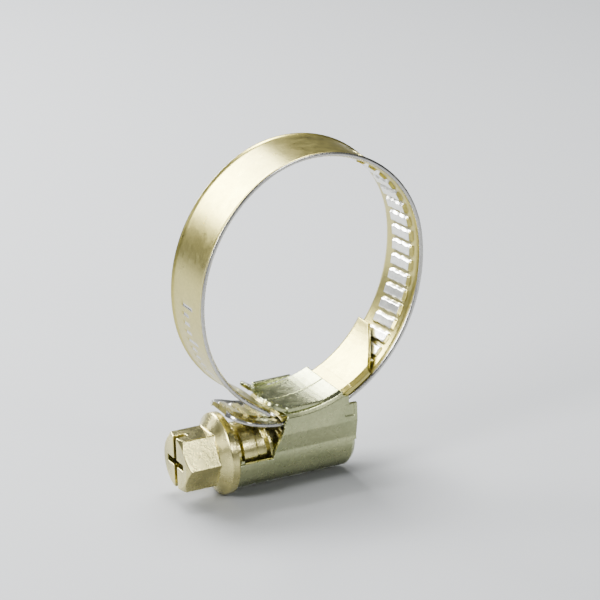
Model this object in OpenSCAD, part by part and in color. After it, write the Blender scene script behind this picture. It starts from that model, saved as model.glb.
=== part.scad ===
// Worm-drive hose clamp, 9 mm band, nominal 20 to 32 mm, opened to about 30 mm.
// Origin: centre of the saddle that the hose sits on, halfway across the band.
// +X runs along the screw towards its end, so the head is at -X. Y is the hose axis. +Z points from the
// housing to the top of the ring. Angles round the ring are counted from +X towards +Z.

/* [Band] */
// Width of the band
band_w = 9; // [8.5:0.1:9.2]
// Thickness of the band sheet
band_t = 0.55; // [0.45:0.01:0.56]
// How far the rolled edges stand outwards
lip_h = 0.3; // [0:0.05:0.35]
// Width of each rolled edge
lip_w = 0.7; // [0.3:0.1:1]
// Inner radius of the threaded end where it runs through the housing
thread_end_r = 17.1; // [17.1:0.05:17.15]
// Gap between neighbouring lengths of the band
link_gap = 0.16; // [0.12:0.02:0.3]

/* [Thread] */
// Pitch of the worm thread and of the grooves in the band
pitch = 2; // [1.9:0.05:2.1]
// Width of the worm's crest
crest_w = 0.42; // [0.3:0.02:0.45]
// Width of a groove pressed into the band
groove_w = 1.02; // [1:0.02:1.2]
// Depth of a groove
groove_depth = 0.42; // [0.4:0.01:0.45]
// Height of the bump that a groove raises on the inner side
bump_h = 0.22; // [0.1:0.02:0.22]
// Length of a groove across the band
groove_l = 4.5; // [4.3:0.1:4.8]
// How far the row of grooves lies off the band's middle, towards +Y
groove_y = -0.45; // [-0.5:0.05:0]

/* [Screw] */
// Height of the screw axis below the origin
screw_drop = 21.4; // [21.4:0.05:21.45]
// Outer radius of the worm thread
worm_r = 4.07; // [4:0.01:4.08]
// Radius of the worm's core
core_r = 3.3; // [3:0.05:3.35]
// Width of the hexagon across its flats
hex_af = 6.8; // [6.64:0.02:7]
// Length of the hexagon
hex_l = 4.4; // [4:0.1:5.5]
// Radius of the flange
flange_r = 5.2; // [5.1:0.05:5.3]
// Thickness of the flange's rim
rim_t = 0.9; // [0.6:0.05:1]
// Height of the cone between the hexagon and the rim
cone_l = 1.15; // [0.9:0.05:1.4]
// Radius of the end journal
journal_r = 1.5; // [1.2:0.05:1.8]

/* [Housing] */
// Thickness of the housing sheet
wall = 0.55; // [0.5:0.01:0.6]
// Inner radius of the two flaps that the hose sits on
flap_r = 15.75; // [15.7:0.01:15.76]
// Thickness of the flaps
flap_t = 0.5; // [0.4:0.02:0.5]
// Seam between the two flaps
seam = 0.14; // [0.1:0.02:0.3]
// Right-hand end of the housing
house_x1 = 8.4; // [8.2:0.05:8.5]
// Left-hand end of the barrel
house_x0 = -7.6; // [-7.7:0.05:-7.5]

/* [Hidden] */
$fn = 96;
// Where two arcs of one strip meet, one runs into the other by this turn and is this much thinner.
weld_turn = 1;
weld_inset = 0.02;
link_count = 12;
zinc = [0.80, 0.78, 0.66];
zinc_dark = [0.66, 0.66, 0.58];

// Band route: the threaded end is an arc about the origin, from the tail's tip at tail_a to thread_end_a.
// Tangent arcs follow it round the ring, each [turn in degrees, inner radius, number of lengths].
tail_a = -117.5;
thread_end_a = -40;
taper_a = -108;
tail_tip_w = 5.8;
ring_arcs = [[45, 20.1, 2], [120, 13.45, 4], [65, 18.3, 3], [44, 14.55, 2]];
mouth_l = 2.7;
bumped_links = 4;

// Fixed end: it lies under the flaps, between them and the threaded end.
fixed_r = flap_r + flap_t + 0.03;
fixed_a0 = -96;
fixed_a1 = -61;
tongue_r = 15;
tongue_turn = 29.5;
tongue_tip_w = 3.1;
tongue_cut_turn = 10.5;

// One tooth of the band for each pitch of the worm, measured at the band's outer face.
// `phase` is how far past the housing's middle the nearest tooth and crest stand, in pitches.
phase = 0.35;
tooth_a = pitch / (thread_end_r + band_t) * 180 / PI;
first_tooth = -4;
last_tooth = 6;
groove_slant = atan(pitch / (2 * PI * (worm_r - groove_depth / 2)));

// Screw, from the head to the end journal.
flange_x = house_x0 - 0.25;
cone_x = flange_x - rim_t;
hex_x = cone_x - cone_l - hex_l;
neck_r = 3;
neck_x = house_x0 + 1;
collar_r = 3.5;
collar_x = -4.6;
core_x = 7.3;
thread_x0 = -4.4;
thread_x1 = 7;
thread_steps = 30;
root_w = 1.1;
slot_w = 0.9;
slot_depth = 1.6;
cross_l = 4.6;

// Housing sections.
barrel_r = worm_r + 0.06;
side_y = band_w / 2 + 0.12;
shoulder_z = -18.35;
tangent_y = 4.1;
tangent_z = -20.9;
wall_top = -15.2;
lip_z = -21.6;
window_x = [-3.1, -1.1];
end_wall_x = 7.75;
flap_a0 = -97.2;
flap_a1 = -66.5;
ear_root_a = -93;
ear_y = 3.4;
ear_w = 2.7;
ear_l = 1.55;
ear_tilt = 33;
ear_hole_r = 0.5;

function dir(a) = [cos(a), 0, sin(a)];
function sum_to(v, n) = n == 0 ? 0 : v[n - 1] + sum_to(v, n - 1);
function link_name(i) = str("band_link_", i < 10 ? "0" : "", i);

// Start angle, centre and inner radius of ring arc n; arc -1 is the threaded end.
turns = [for (a = ring_arcs) a[0]];
function arc_start(n) = thread_end_a + sum_to(turns, n);
function arc_r(n) = n < 0 ? thread_end_r : ring_arcs[n][1];
function arc_centre(n) = n < 0 ? [0, 0, 0] : arc_centre(n - 1) + (arc_r(n - 1) - arc_r(n)) * dir(arc_start(n));

// Link i lies on arc link_arcs[i - 1][0] and is length number link_arcs[i - 1][1] of it.
link_arcs = [for (n = [0 : len(ring_arcs) - 1]) for (k = [0 : ring_arcs[n][2] - 1]) [n, k]];
function link_turn(n) = ring_arcs[n][0] / ring_arcs[n][2];

// Mouth of the housing: where the straight last length starts, and its direction.
mouth_a = arc_start(len(ring_arcs));
last_arc = len(ring_arcs) - 1;
mouth_start = arc_centre(last_arc) + arc_r(last_arc) * dir(mouth_a);

// Puts what is drawn in a turned section (radius, height) into the plane of the ring.
module about_y(centre = [0, 0, 0]) {
    translate(centre) rotate([90, 0, 0]) children();
}

// Section of the band at inner radius r: a flat sheet with both edges rolled outwards.
// `inset` makes it that much smaller all round.
module band_section(r, inset = 0) {
    half = band_w / 2 - inset;
    flat = half - lip_w;
    inner = r + inset;
    outer = r + band_t - inset;
    polygon([
        [inner, -flat], [inner, flat], [inner + lip_h, half], [outer + lip_h, half],
        [outer, flat - 0.1], [outer, 0.1 - flat], [outer + lip_h, -half], [inner + lip_h, -half]
    ]);
}

// A length of band along an arc.
module band_arc(r, a0, a1, centre = [0, 0, 0], inset = 0) {
    about_y(centre) rotate([0, 0, a0]) rotate_extrude(angle = a1 - a0) band_section(r, inset);
}

// A slanted block at angle a, from radius r0 to r1, for a groove or its bump.
module tooth_block(a, r0, r1, w, l) {
    rotate([0, -a, 0]) translate([r0, 0, 0]) rotate([-groove_slant, 0, 0])
        translate([0, groove_y - l / 2, -w / 2]) cube([r1 - r0, l, w]);
}

// Embosses the band drawn by its children: bumps inside, grooves outside, at the angles given.
module embossed(angles, r, centre = [0, 0, 0]) {
    difference() {
        union() {
            children();
            translate(centre) for (a = angles)
                tooth_block(a, r - bump_h, r + band_t / 2, groove_w + 0.25, groove_l + 0.3);
        }
        translate(centre) for (a = angles)
            tooth_block(a, r + band_t - groove_depth, r + band_t + 1, groove_w, groove_l);
    }
}

// The end that the worm drives: free tail, thread in the housing, and the lower right of the ring.
module band_threaded_end() {
    teeth = [for (n = [first_tooth : last_tooth]) -90 + (n + phase) * tooth_a];
    color(zinc) difference() {
        embossed(teeth, thread_end_r)
            band_arc(thread_end_r, tail_a, thread_end_a - gap_angle(thread_end_r) / 2);
        tail_taper();
    }
}

// What is cut off both sides of the tail to make its tip narrower.
module tail_taper() {
    run = (taper_a - tail_a) * PI / 180 * thread_end_r;
    for (side = [-1, 1]) rotate([0, -taper_a, 0]) translate([thread_end_r, 0, 0]) rotate([0, 90, 0])
        linear_extrude(8, center = true) polygon([
            [-0.5, side * (band_w / 2 + 0.1)], [run, side * tail_tip_w / 2], [run + 3, side * tail_tip_w / 2],
            [run + 3, side * band_w], [-0.5, side * band_w]
        ]);
}

function gap_angle(r) = link_gap / r * 180 / PI;

// One length of the flexible ring.
module band_link(i) {
    if (i < link_count) {
        n = link_arcs[i - 1][0];
        r = arc_r(n);
        turn = link_turn(n);
        start = arc_start(n) + link_arcs[i - 1][1] * turn;
        half_gap = gap_angle(r) / 2;
        centre = arc_centre(n);
        step = pitch / (r + band_t) * 180 / PI;
        count = i <= bumped_links ? floor(turn / step) : 0;
        teeth = [for (k = [1 : 1 : count]) start + turn / 2 + (k - (count + 1) / 2) * turn / max(count, 1)];
        color(zinc) embossed(teeth, r, centre)
            band_arc(r, start + half_gap, start + turn - half_gap, centre);
    } else {
        color(zinc) mouth_strip();
    }
}

// The straight length that goes into the housing's left mouth.
module mouth_strip() {
    translate(mouth_start) rotate([0, -mouth_a, 0]) translate([-arc_r(0), 0, link_gap / 2])
        linear_extrude(mouth_l - link_gap / 2) band_section(arc_r(0));
}

// The fixed end of the band: saddle layer and slant-cut tongue.
module band_fixed_end() {
    tongue_centre = (fixed_r - tongue_r) * dir(fixed_a1);
    tip_a = fixed_a1 + tongue_turn;
    cut_a = fixed_a1 + tongue_cut_turn;
    color(zinc) difference() {
        union() {
            band_arc(fixed_r, fixed_a0, fixed_a1);
            band_arc(tongue_r, fixed_a1 - weld_turn, tip_a, tongue_centre, weld_inset);
        }
        // slanted cut from the near edge to the tip
        tongue_cut(tongue_centre, cut_a, tip_a);
    }
}

module tongue_cut(centre, cut_a, tip_a) {
    near = centre + tongue_r * dir(cut_a);
    far = centre + tongue_r * dir(tip_a);
    run = norm(far - near);
    lean = atan2(far[2] - near[2], far[0] - near[0]);
    translate(near) rotate([0, -lean, 0]) translate([0, -band_w / 2, -5])
        linear_extrude(10) polygon([
            [0, -1], [run + 2, -1], [run + 2, band_w - tongue_tip_w + 2 * (band_w - tongue_tip_w) / run],
            [run, band_w - tongue_tip_w], [0, 0]
        ]);
}

// Screw: hexagon with slot and cross, flange, neck, collar, worm and end journal, drawn along +Z.
module worm_screw() {
    color(zinc) translate([0, 0, -screw_drop]) rotate([0, 90, 0]) {
        difference() {
            union() {
                screw_turnings();
                translate([0, 0, hex_x]) hex_head();
            }
            translate([0, 0, hex_x]) drive_slots();
        }
        worm_thread();
    }
}

module screw_turnings() {
    rotate_extrude() polygon([
        [0, cone_x - cone_l], [hex_af / 2 + 0.3, cone_x - cone_l], [flange_r - 0.1, cone_x - 0.1],
        [flange_r, cone_x], [flange_r, flange_x], [neck_r, flange_x], [neck_r, neck_x], [collar_r, neck_x + 0.15],
        [collar_r, collar_x], [core_r, collar_x], [core_r, core_x], [journal_r, core_x],
        [journal_r, house_x1 - 0.1], [0, house_x1 - 0.1]
    ]);
}

module hex_head() {
    corner_r = hex_af / 2 / cos(30);
    intersection() {
        rotate([0, 0, 90]) cylinder(r = corner_r, h = hex_l + 0.1, $fn = 6);
        rotate_extrude() polygon([
            [0, 0], [hex_af / 2 - 0.1, 0], [corner_r, 0.45], [corner_r + 0.1, hex_l + 0.1], [0, hex_l + 0.1]
        ]);
    }
}

module drive_slots() {
    translate([-hex_af, -slot_w / 2, -1]) cube([2 * hex_af, slot_w, slot_depth + 1]);
    for (turn = [0, 90]) rotate([0, 0, turn])
        translate([-slot_w / 2, -cross_l / 2, -1]) cube([slot_w, cross_l, slot_depth + 1.6]);
}

// Right-hand helical thread, a trapezoid swept round the core. Its crests stand in the grooves at the top.
module worm_thread() {
    sink = 0.15;
    turns_total = (thread_x1 - thread_x0) / pitch;
    steps = floor(turns_total * thread_steps);
    rings = [for (s = [0 : steps]) thread_ring(s / thread_steps, min(1, s / 8, (steps - s) / 8), sink)];
    points = [for (ring = rings) for (p = ring) p];
    sides = [for (s = [0 : steps - 1]) for (k = [0 : 3])
        [4 * s + k, 4 * s + (k + 1) % 4, 4 * s + 4 + (k + 1) % 4, 4 * s + 4 + k]];
    polyhedron(points, concat([[3, 2, 1, 0]], sides, [[4 * steps, 4 * steps + 1, 4 * steps + 2, 4 * steps + 3]]));
}

// Section of the thread after `turn` turns; `grow` makes its ends run out.
function thread_ring(turn, grow, sink) =
    let (
        x = thread_x0 + turn * pitch,
        a = 360 * (x / pitch - phase),
        tip = core_r + (worm_r - core_r) * max(grow, 0.05),
        foot = core_r - sink
    )
    [for (q = [[foot, -root_w / 2], [tip, -crest_w / 2], [tip, crest_w / 2], [foot, root_w / 2]])
        [-q[0] * cos(a), -q[0] * sin(a), x + q[1]]];

// Outline of the housing across the screw: walls above, barrel below.
module housing_outline(grow) {
    half = side_y + grow;
    translate([0, -screw_drop]) circle(barrel_r + grow);
    polygon([
        [-half, -13.5], [-half, shoulder_z - grow / 2], [-tangent_y - grow, tangent_z], [-tangent_y, -screw_drop],
        [tangent_y, -screw_drop], [tangent_y + grow, tangent_z], [half, shoulder_z - grow / 2], [half, -13.5]
    ]);
}

// Stamped housing: barrel, walls, flaps, ears and the end wall that carries the journal.
module housing() {
    color(zinc_dark) difference() {
        union() {
            housing_shell();
            difference() {
                flaps();
                ear_holes();
            }
            ears();
            neck_rim();
            end_wall();
        }
        pressed_marks();
        end_chamfer();
        rounded_shoulders();
    }
}

module housing_shell() {
    difference() {
        translate([house_x0, 0, 0]) rotate([90, 0, 90]) linear_extrude(house_x1 - house_x0) difference() {
            housing_outline(wall);
            housing_outline(0);
        }
        // the walls end in a low ridge beside the flaps, and further right they follow the flaps
        intersection() {
            about_y() cylinder(r = flap_r + flap_t / 2, h = 20, center = true);
            translate([-20, -20, wall_top]) cube([40, 40, 20]);
        }
        window();
        // the wall's top drops at the right-hand end
        translate([7.3, -10, -16.3]) cube([5, 20, 10]);
        translate([6.6, -10, wall_top]) cube([5, 20, 10]);
    }
}

// Opening on the head side, where the tail comes out over the worm.
module window() {
    rotate([90, 0, 0]) translate([0, 0, -10]) linear_extrude(20) polygon([
        [house_x0 - 1, -10], [house_x0 - 1, lip_z], [window_x[0], lip_z], [window_x[1], -16.4],
        [window_x[1] - 0.4, -10]
    ]);
}

module flaps() {
    for (side = [-1, 1]) intersection() {
        about_y() rotate([0, 0, flap_a0]) rotate_extrude(angle = flap_a1 - flap_a0)
            translate([flap_r, -side_y - wall / 2]) square([flap_t, 2 * side_y + wall]);
        translate([-10, side > 0 ? seam / 2 : -10 - seam / 2, -20]) cube([20, 10, 20]);
    }
}

// Round-ended ears lifted out of the flaps at their left-hand end, each with a hole.
module ears() {
    for (side = [-1, 1]) translate(flap_r * dir(ear_root_a)) rotate([0, ear_tilt, 0])
        translate([0, side * ear_y, -flap_t]) difference() {
            union() {
                translate([-ear_l, -ear_w / 2, 0]) cube([ear_l + 0.12, ear_w, flap_t]);
                translate([-ear_l, 0, 0]) cylinder(r = ear_w / 2, h = flap_t);
            }
            translate([-ear_l, 0, -1]) cylinder(r = ear_hole_r, h = 3);
        }
}

// The holes in the flaps that the ears were lifted out of.
module ear_holes() {
    for (side = [-1, 1]) translate([flap_r * dir(ear_root_a)[0] - 10, side * ear_y - ear_w / 2 - 0.06, -17])
        cube([10, ear_w + 0.12, 4]);
}

// Half rim in the barrel's left end that holds the screw by its neck.
module neck_rim() {
    translate([house_x0 + 0.25, 0, -screw_drop]) rotate([0, 90, 0]) difference() {
        cylinder(r = barrel_r + wall / 2, h = 0.5);
        translate([0, 0, -1]) cylinder(r = neck_r + 0.06, h = 3);
        translate([-10 + screw_drop + lip_z, -10, -1]) cube([10, 20, 3]);
    }
}

module end_wall() {
    translate([end_wall_x, 0, -screw_drop]) rotate([0, 90, 0]) difference() {
        cylinder(r = barrel_r + wall / 2, h = 0.5);
        translate([0, 0, -1]) cylinder(r = journal_r + 0.05, h = 3);
        translate([-10 - 2.9, -10, -1]) cube([10, 20, 3]);
    }
}

// Rounds the corners where the walls turn over into the flaps.
module rounded_shoulders() {
    half = side_y + wall;
    for (side = [0, 1]) mirror([0, side, 0]) about_y() rotate([0, 0, -101]) rotate_extrude(angle = 40)
        polygon([
            [flap_r - 0.01, half - 0.67], [flap_r + 0.35, half - 0.32], [flap_r + 0.85, half - 0.12],
            [flap_r + 2.1, half + 0.01], [flap_r + 2.1, half + 1], [flap_r - 0.01, half + 1]
        ]);
}

// Takes the sharp edge off the barrel's right-hand end.
module end_chamfer() {
    outer = barrel_r + wall;
    intersection() {
        translate([0, 0, -screw_drop]) rotate([0, 90, 0]) rotate_extrude() polygon([
            [outer - 0.45, house_x1 + 0.01], [outer + 0.01, house_x1 - 0.6], [outer + 2, house_x1 - 0.6],
            [outer + 2, house_x1 + 1], [outer - 0.45, house_x1 + 1]
        ]);
        translate([0, -10, -screw_drop - 10]) cube([20, 20, 10]);
    }
}

// Shallow pressed rectangles in both walls, near the right-hand end.
module pressed_marks() {
    for (side = [-1, 1]) translate([6.7, side * (side_y + wall) - 0.15, -17.9]) cube([1.25, 0.3, 1.5]);
}

housing();
worm_screw();
band_fixed_end();
band_threaded_end();
for (i = [1 : link_count]) band_link(i);
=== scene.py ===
"""Looks for the worm-drive hose clamp: continuous embossed band, pressed housing, turned screw."""
import math

import bpy
import numpy as np
from mathutils import Matrix, Vector


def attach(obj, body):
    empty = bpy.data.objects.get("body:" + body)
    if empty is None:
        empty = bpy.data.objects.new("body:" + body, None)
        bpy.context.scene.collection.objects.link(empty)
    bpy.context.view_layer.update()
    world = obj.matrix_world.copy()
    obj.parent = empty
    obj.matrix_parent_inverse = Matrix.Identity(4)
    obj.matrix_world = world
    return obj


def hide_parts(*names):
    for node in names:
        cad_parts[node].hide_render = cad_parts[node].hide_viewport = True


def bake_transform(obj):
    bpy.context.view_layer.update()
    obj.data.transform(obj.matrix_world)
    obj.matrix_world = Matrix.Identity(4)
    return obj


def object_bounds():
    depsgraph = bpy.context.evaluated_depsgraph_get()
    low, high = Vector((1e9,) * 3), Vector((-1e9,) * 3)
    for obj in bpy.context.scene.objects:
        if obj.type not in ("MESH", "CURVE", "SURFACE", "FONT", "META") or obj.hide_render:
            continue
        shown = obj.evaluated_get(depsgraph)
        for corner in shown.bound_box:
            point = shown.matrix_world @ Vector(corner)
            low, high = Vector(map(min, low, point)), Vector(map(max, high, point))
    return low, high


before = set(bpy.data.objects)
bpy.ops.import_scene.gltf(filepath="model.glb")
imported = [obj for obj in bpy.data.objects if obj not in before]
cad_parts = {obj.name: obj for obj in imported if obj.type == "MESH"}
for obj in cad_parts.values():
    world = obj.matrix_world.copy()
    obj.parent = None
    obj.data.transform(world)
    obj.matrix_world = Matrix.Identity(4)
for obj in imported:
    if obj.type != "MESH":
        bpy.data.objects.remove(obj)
cad_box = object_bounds()

MM = 0.001

# Band, as in the CAD design. Angles are in degrees from +X towards +Z, lengths in millimetres.
BAND_W = 9.0
BAND_T = 0.55
PITCH = 2.0
TAIL_TIP = -117.5
TAIL_TAPER = -108.0
TAIL_TIP_W = 5.8
THREAD_R = 17.1
THREAD_END = -40.0
RING_ARCS = [(45, 20.1, 2), (120, 13.45, 4), (65, 18.3, 3), (44, 14.55, 2)]
MOUTH_L = 2.7


def direction(angle):
    """Unit vector in the plane of the ring at an angle in degrees."""
    a = math.radians(angle)
    return np.array([math.cos(a), 0.0, math.sin(a)])


# ---------------------------------------------------------------- band route

def band_route():
    """Arcs of the band from the tail's tip to the mouth: (centre, radius, start angle, turn)."""
    route = [(np.zeros(3), THREAD_R, TAIL_TIP, THREAD_END - TAIL_TIP)]
    centre, radius, angle = np.zeros(3), THREAD_R, THREAD_END
    for turn, next_radius, _ in RING_ARCS:
        centre = centre + (radius - next_radius) * direction(angle)
        route.append((centre, next_radius, angle, turn))
        radius, angle = next_radius, angle + turn
    return route


ROUTE = band_route()
OUTER = [radius + BAND_T for _, radius, _, _ in ROUTE]
LENGTHS = [math.radians(turn) * outer for (_, _, _, turn), outer in zip(ROUTE, OUTER)]
STARTS = list(np.concatenate([[0.0], np.cumsum(LENGTHS)]))
ROUTE_L = STARTS[-1]
BAND_L = ROUTE_L + MOUTH_L


def band_at(s):
    """Inner face point, outward normal and tangent at distance s along the band."""
    s = min(max(s, 0.0), BAND_L)
    if s >= ROUTE_L:
        centre, radius, start, turn = ROUTE[-1]
        out = direction(start + turn)
        along = direction(start + turn + 90)
        return centre + radius * out + (s - ROUTE_L) * along, out, along
    i = max(k for k in range(len(ROUTE)) if STARTS[k] <= s + 1e-9)
    i = min(i, len(ROUTE) - 1)
    centre, radius, start, turn = ROUTE[i]
    angle = start + math.degrees((s - STARTS[i]) / OUTER[i])
    out = direction(angle)
    return centre + radius * out, out, direction(angle + 90)


# Distances along the band of the hinges between the rigid lengths that it stands for.
HINGES = []
for arc, (_, _, count) in enumerate(RING_ARCS):
    step = LENGTHS[arc + 1] / count
    HINGES += [STARTS[arc + 1] + k * step for k in range(count)]
HINGES.append(ROUTE_L)
MIDDLES = [(a + b) / 2 for a, b in zip(HINGES, HINGES[1:])]

# Teeth: one stands TOOTH_PHASE pitches past the worm's middle, at -90 degrees.
# The rest follow the pitch, and they slant across the band.
TOOTH_PHASE = 0.35
TOOTH_ZERO = math.radians(-90 - TAIL_TIP) * (THREAD_R + BAND_T) + TOOTH_PHASE * PITCH
TOOTH_FIRST = -4
TOOTH_LAST = 22
TOOTH_SLANT = math.tan(math.radians(4.67))
TEETH = np.array([TOOTH_ZERO + k * PITCH for k in range(TOOTH_FIRST, TOOTH_LAST + 1)])


def plateau(x, half, soft):
    """1 inside +-half, 0 outside +-(half + soft), with a smooth shoulder."""
    t = np.clip((half + soft - np.abs(x)) / soft, 0, 1)
    return t * t * (3 - 2 * t)


def teeth_at(s, y, half, soft, half_l, soft_l, centre_y):
    """Height 0 to 1 of the row of teeth at distance s and across-band place y."""
    local = s + y * TOOTH_SLANT
    nearest = TEETH[np.clip(np.round((local - TEETH[0]) / PITCH), 0, len(TEETH) - 1).astype(int)]
    return plateau(local - nearest, half, soft) * plateau(y - centre_y, half_l, soft_l)


# Plain gauge marks pressed into the outer face: every fourth stroke is a long one.
MARK_AT = ROUTE_L - 15.0
MARK_STEP = 1.2
MARK_COUNT = 9
MARK_HALF_W = 0.1
MARK_SOFT = 0.12
MARK_DEPTH = 0.1
LONG_EVERY = 4


def marks_at(s, y):
    """Depth 0 to 1 of the gauge marks."""
    k = np.round((s - MARK_AT) / MARK_STEP)
    inside = (k >= 0) & (k < MARK_COUNT)
    long_stroke = k % LONG_EVERY == 0
    half_l = np.where(long_stroke, 1.3, 0.7)
    centre_y = np.where(long_stroke, 0.0, 0.6)
    stroke = plateau(s - (MARK_AT + k * MARK_STEP), MARK_HALF_W, MARK_SOFT)
    return np.where(inside, stroke * plateau(y - centre_y, half_l, 0.15), 0.0)


# ---------------------------------------------------------------- band skin

# Rolled lips and rounded edges of the section.
LIP_H = 0.32
LIP_W = 0.8
EDGE_R = 0.2
EDGE_STEPS = 6
# Bumps and grooves: half width, shoulder, half length, end shoulder, middle across the band.
BUMP_SHAPE = (0.60, 0.12, 2.35, 0.18, -0.4)
GROOVE_SHAPE = (0.36, 0.2, 2.05, 0.2, -0.45)
BUMP_H = 0.22
GROOVE_D = 0.42
# The bumps grow by BUMP_MORE over a length of BUMP_RAMP, from BUMP_CLEAR past the first hinge.
BUMP_MORE = 0.14
BUMP_CLEAR = 2.0
BUMP_RAMP = 4.0
# The tail is greyer than the ring. The change lies inside the housing at rest and at both limits.
TAIL_SHADE_L = 13.5


def section():
    """Closed outline of the band: (y, height above the inner face, +1 outer face or -1 inner face)."""
    half = BAND_W / 2 - EDGE_R
    ys = np.concatenate([
        np.linspace(-half, -3.1, 10), np.linspace(-2.9, 2.9, 30), np.linspace(3.1, half, 10)])

    def lift(y):
        t = np.clip((np.abs(y) - (BAND_W / 2 - LIP_W)) / LIP_W, 0, 1)
        return LIP_H * t * t

    def edge(way):
        middle = BAND_T / 2
        for k in range(1, EDGE_STEPS):
            a = math.pi * (k / EDGE_STEPS - 0.5)
            yield way * (half + EDGE_R * math.cos(a)), lift(half) + middle + way * middle * math.sin(a), 0

    inner = [(y, lift(y), -1) for y in ys]
    outer = [(y, lift(y) + BAND_T, 1) for y in ys[::-1]]
    return np.array(inner + list(edge(1)) + outer + list(edge(-1)))


SECTION = section()
# The tail's tip: its corners are rounded over TIP_ROUND, behind a taper of TAPER_L.
TIP_ROUND = 0.9
TIP_NARROWING = 0.2
TAPER_POWER = 0.9
TAPER_L = math.radians(TAIL_TAPER - TAIL_TIP) * (THREAD_R + BAND_T)


def bump_height(s):
    """The bumps stand higher on the open ring than on the length that runs under the fixed end."""
    return BUMP_H + BUMP_MORE * min(max((s - HINGES[0] - BUMP_CLEAR) / BUMP_RAMP, 0.0), 1.0)


def ring_stations():
    """Distances along the band at which the skin has a ring: fine at teeth and marks."""
    fine, medium, coarse = PITCH / 14, 0.12, 0.35
    stations, s = [0.0], 0.0
    while s < BAND_L - 1e-6:
        toothed = TEETH[0] - 1 <= s <= TEETH[-1] + 1
        marked = MARK_AT - 0.5 <= s <= MARK_AT + MARK_COUNT * MARK_STEP
        step = fine if toothed or s < 1.2 else medium if marked else coarse
        s = min(s + step, BAND_L)
        stations.append(s)
    for must in MIDDLES:
        stations[int(np.argmin(np.abs(np.array(stations) - must)))] = must
    return np.array(stations)


def skin_grid(stations):
    """Points of the whole band skin, in metres, as an array of rings by section points."""
    y, h, side = SECTION.T
    rings = []
    for s in stations:
        point, out, _ = band_at(s)
        taper = min(s / TAPER_L, 1.0)
        width = TAIL_TIP_W / BAND_W + (1 - TAIL_TIP_W / BAND_W) * math.sin(taper * math.pi / 2) ** TAPER_POWER
        near_tip = min(s / TIP_ROUND, 1.0)
        width -= TIP_NARROWING * (1 - math.sqrt(1 - (1 - near_tip) ** 2))
        inner = side < 0
        outer = side > 0
        height = h.copy()
        height[inner] -= bump_height(s) * teeth_at(s, y[inner], *BUMP_SHAPE)
        height[outer] -= GROOVE_D * teeth_at(s, y[outer], *GROOVE_SHAPE)
        height[outer] -= MARK_DEPTH * marks_at(s, y[outer])
        ring = point + out * height[:, None]
        ring[:, 1] = y * width
        rings.append(ring * MM)
    return np.array(rings)


def grid_normals(grid):
    """Smooth outward normals of the skin grid."""
    along = np.gradient(grid, axis=0)
    around = np.roll(grid, -1, axis=1) - np.roll(grid, 1, axis=1)
    n = np.cross(along, around)
    return n / np.maximum(np.linalg.norm(n, axis=2, keepdims=True), 1e-12)


def new_object(name, data):
    """A new object in the scene that shows a mesh, a light or a camera."""
    obj = bpy.data.objects.new(name, data)
    bpy.context.scene.collection.objects.link(obj)
    return obj


def strip_mesh(name, grid, normals, shades):
    """Closed mesh from a run of rings, smooth across its ends."""
    rings, around = grid.shape[:2]
    verts = grid.reshape(-1, 3)
    faces = []
    for i in range(rings - 1):
        for j in range(around):
            k = (j + 1) % around
            faces.append((i * around + j, (i + 1) * around + j, (i + 1) * around + k, i * around + k))
    side_count = len(faces)
    faces.append(tuple(range(around)))
    last = (rings - 1) * around
    faces.append(tuple(last + j for j in range(around - 1, -1, -1)))
    mesh = bpy.data.meshes.new(name)
    mesh.from_pydata([tuple(v) for v in verts], [], faces)
    mesh.update()
    flat = normals.reshape(-1, 3)
    loops = []
    for index, polygon in enumerate(mesh.polygons):
        polygon.use_smooth = index < side_count
        for v in polygon.vertices:
            loops.append(tuple(flat[v]) if index < side_count else tuple(polygon.normal))
        if index < side_count:
            polygon.material_index = int(shades[index // around, index % around])
    mesh.normals_split_custom_set(loops)
    return mesh


def shade_of(s, y, side):
    """Material of each face at distance s: 0 sheet, 1 bump with a painted highlight, 2 edge, mark or tail, 3
    gap between bumps with painted shade.
    """
    inner = side < 0
    # The bumps get a lighter, whiter material: painted highlight.
    bump = inner & (teeth_at(s, y, *BUMP_SHAPE) > 0.3)
    row = inner & (plateau(y - BUMP_SHAPE[4], BUMP_SHAPE[2] - 0.3, 0.1) > 0.5)
    # The gaps between the bumps get a darker material: painted shade in the recesses.
    shaded_gap = row & ~bump & (HINGES[0] < s < TEETH[-1])
    grey = (side == 0) | (s < TAIL_SHADE_L) | ((side > 0) & (marks_at(s, y) > 0.4))
    return np.where(bump, 1, np.where(shaded_gap, 3, np.where(grey, 2, 0)))


def build_band(materials):
    """The continuous band: one piece from the middle of each length to the middle of the next."""
    stations = ring_stations()
    y, _, side = SECTION.T
    shades = np.array([shade_of(s, y, side) for s in stations])
    grid = skin_grid(stations)
    normals = grid_normals(grid)
    cuts = [0] + [int(np.argmin(np.abs(stations - m))) for m in MIDDLES] + [len(stations) - 1]
    for k, (first, last) in enumerate(zip(cuts, cuts[1:])):
        name = f"band_skin_{k + 1:02d}"
        mesh = strip_mesh(name, grid[first:last + 1], normals[first:last + 1], shades[first:last + 1])
        for material in materials:
            mesh.materials.append(material)
        obj = new_object(name, mesh)
        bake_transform(obj)
        if k == 0:
            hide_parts("band_threaded_end", "band_link_01")
        else:
            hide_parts(f"band_link_{k + 1:02d}")


# ---------------------------------------------------------------- softened CAD pieces

def softened(node, name, voxel, rounds, keep, material, body):
    """A copy of a CAD piece with its edges worn round, as plating and pressing leave them."""
    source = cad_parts[node]
    obj = new_object(name, source.data.copy())
    obj.data.materials.clear()
    obj.data.materials.append(material)
    remesh = obj.modifiers.new("remesh", "REMESH")
    remesh.mode = "VOXEL"
    remesh.voxel_size = voxel * MM
    remesh.adaptivity = 0.0
    smooth = obj.modifiers.new("smooth", "SMOOTH")
    smooth.factor = 0.5
    smooth.iterations = rounds
    decimate = obj.modifiers.new("decimate", "DECIMATE")
    decimate.ratio = keep
    apply_modifiers(obj)
    obj.data.polygons.foreach_set("use_smooth", [True] * len(obj.data.polygons))
    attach(obj, body)
    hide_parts(node)


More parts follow.
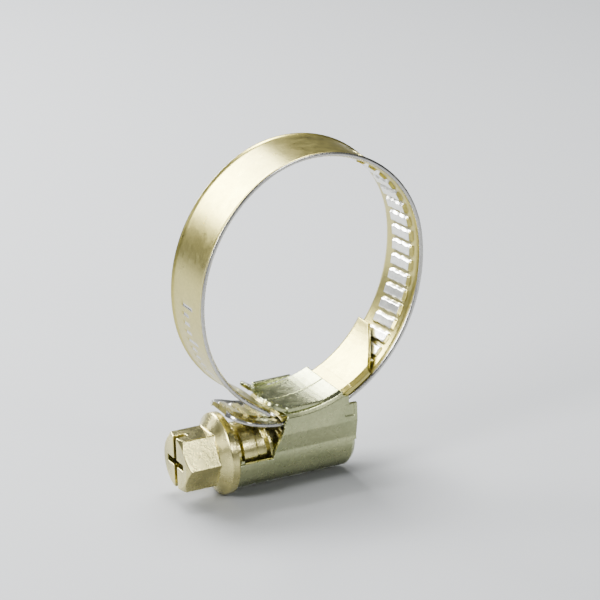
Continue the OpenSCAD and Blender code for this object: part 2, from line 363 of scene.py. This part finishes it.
def apply_modifiers(obj):
    """Replaces the object's mesh with what its modifiers make of it."""
    graph = bpy.context.evaluated_depsgraph_get()
    mesh = bpy.data.meshes.new_from_object(obj.evaluated_get(graph))
    obj.modifiers.clear()
    obj.data = mesh


# ---------------------------------------------------------------- materials

def zinc(name, base, dark, rough, grain):
    """Zinc plate with a pale yellow passivation: patches of tint, fine grain and speckle."""
    material = bpy.data.materials.new(name)
    material.use_nodes = True
    tree = material.node_tree
    nodes, links = tree.nodes, tree.links
    shader = nodes["Principled BSDF"]
    shader.inputs["Metallic"].default_value = 1.0
    coords = nodes.new("ShaderNodeTexCoord")

    def noise(scale, detail, roughness=0.5):
        node = nodes.new("ShaderNodeTexNoise")
        node.inputs["Scale"].default_value = scale
        node.inputs["Detail"].default_value = detail
        node.inputs["Roughness"].default_value = roughness
        links.new(coords.outputs["Object"], node.inputs["Vector"])
        return node.outputs["Fac"]

    def ramp(source, low, low_colour, high, high_colour):
        node = nodes.new("ShaderNodeValToRGB")
        node.color_ramp.elements[0].position = low
        node.color_ramp.elements[0].color = (*low_colour, 1)
        node.color_ramp.elements[1].position = high
        node.color_ramp.elements[1].color = (*high_colour, 1)
        links.new(source, node.inputs["Fac"])
        return node.outputs["Color"]

    tint = ramp(noise(220, 3), 0.3, dark, 0.6, base)
    speckle = ramp(noise(2600, 2), 0.4, (0.82, 0.82, 0.82), 0.6, (1, 1, 1))
    # A colour mix takes its share at input 0 and its colours at inputs 6 and 7, and gives output 2.
    multiply = nodes.new("ShaderNodeMix")
    multiply.data_type = "RGBA"
    multiply.blend_type = "MULTIPLY"
    multiply.inputs[0].default_value = 0.55
    links.new(tint, multiply.inputs[6])
    links.new(speckle, multiply.inputs[7])
    links.new(multiply.outputs[2], shader.inputs["Base Color"])
    rough_map = nodes.new("ShaderNodeMapRange")
    rough_map.inputs["From Min"].default_value = 0.3
    rough_map.inputs["From Max"].default_value = 0.7
    rough_map.inputs["To Min"].default_value = rough - 0.03
    rough_map.inputs["To Max"].default_value = rough + 0.04
    links.new(noise(900, 4), rough_map.inputs["Value"])
    links.new(rough_map.outputs["Result"], shader.inputs["Roughness"])
    bump = nodes.new("ShaderNodeBump")
    bump.inputs["Strength"].default_value = grain
    bump.inputs["Distance"].default_value = 0.00003
    links.new(noise(1800, 5, 0.6), bump.inputs["Height"])
    links.new(bump.outputs["Normal"], shader.inputs["Normal"])
    return material


# ---------------------------------------------------------------- stage

def make_camera():
    """The viewing angle: azimuth and elevation in degrees, roll, and distance in millimetres."""
    azimuth, elevation, roll = (math.radians(a) for a in (-25.44, 20.69, -2.07))
    distance, aim_right, aim_up, ring_x = 461.2, 0.299, -3.212, 3.3
    back = Vector((math.sin(azimuth) * math.cos(elevation), -math.cos(azimuth) * math.cos(elevation),
                   math.sin(elevation)))
    level = Vector((math.cos(azimuth), math.sin(azimuth), 0))
    upright = back.cross(level)
    right = level * math.cos(roll) + upright * math.sin(roll)
    up = upright * math.cos(roll) - level * math.sin(roll)
    target = aim_right * right + aim_up * up + Vector((ring_x, 0, 0))
    place = (target + back * distance) * MM
    camera = bpy.data.cameras.new("camera")
    camera.sensor_width = 36
    camera.lens = 224.9
    camera.clip_start = 0.01
    obj = new_object("camera", camera)
    obj.matrix_world = Matrix((
        (right.x, up.x, back.x, place.x), (right.y, up.y, back.y, place.y),
        (right.z, up.z, back.z, place.z), (0, 0, 0, 1)))
    bpy.context.scene.camera = obj


def area_light(name, place, size, power):
    """A white soft box, in millimetres and watts, that faces the object."""
    light = bpy.data.lights.new(name, "AREA")
    light.shape = "RECTANGLE"
    light.size, light.size_y = size[0] * MM, size[1] * MM
    light.energy = power
    obj = new_object(name, light)
    obj.location = Vector(place) * MM
    obj.rotation_euler = (-Vector(place)).to_track_quat("-Z", "Y").to_euler()


def make_stage():
    """Pale floor, dim surroundings and four soft boxes."""
    floor_z = cad_box[0][2]
    size = 2.0
    mesh = bpy.data.meshes.new("floor")
    corners = [(x * size, y * size, floor_z) for x, y in ((-1, -1), (1, -1), (1, 1), (-1, 1))]
    mesh.from_pydata(corners, [], [(0, 1, 2, 3)])
    floor = new_object("floor", mesh)
    material = bpy.data.materials.new("pale_floor")
    material.use_nodes = True
    shader = material.node_tree.nodes["Principled BSDF"]
    shader.inputs["Base Color"].default_value = (0.33, 0.34, 0.35, 1)
    shader.inputs["Roughness"].default_value = 0.7
    mesh.materials.append(material)
    world = bpy.data.worlds.new("studio")
    world.use_nodes = True
    world.node_tree.nodes["Background"].inputs["Color"].default_value = (0.12, 0.13, 0.14, 1)
    world.node_tree.nodes["Background"].inputs["Strength"].default_value = 0.6
    bpy.context.scene.world = world
    area_light("top_light", (40, 60, 280), (130, 100), 2.4)
    area_light("back_light", (-60, 270, 135), (230, 90), 2.7)
    area_light("left_light", (-280, -60, 150), (90, 130), 1.5)
    area_light("front_light", (70, -320, 170), (80, 60), 0.5)


make_camera()
make_stage()
band_zinc = zinc("band_zinc", (0.52, 0.46, 0.14), (0.47, 0.41, 0.12), 0.3, 0.12)
housing_zinc = zinc("housing_zinc", (0.46, 0.48, 0.26), (0.38, 0.41, 0.22), 0.26, 0.15)
screw_zinc = zinc("screw_zinc", (0.78, 0.70, 0.30), (0.40, 0.37, 0.16), 0.26, 0.5)
# A lighter, whiter copy of the band zinc for the bumps: painted highlight.
bump_highlight_zinc = zinc("bump_highlight_zinc", (0.90, 0.90, 0.84), (0.80, 0.80, 0.74), 0.32, 0.12)
# A darker copy of the band zinc for the gaps between the bumps: painted shade.
gap_shade_zinc = zinc("gap_shade_zinc", (0.30, 0.27, 0.11), (0.26, 0.23, 0.09), 0.36, 0.12)
edge_zinc = zinc("edge_zinc", (0.58, 0.57, 0.53), (0.50, 0.49, 0.46), 0.26, 0.12)
build_band((band_zinc, bump_highlight_zinc, edge_zinc, gap_shade_zinc))
softened("housing", "housing_pressed", 0.05, 8, 0.15, housing_zinc, "housing")
softened("band_fixed_end", "fixed_end_sheet", 0.06, 5, 0.3, band_zinc, "housing")
softened("worm_screw", "screw_turned", 0.06, 4, 0.25, screw_zinc, "screw")
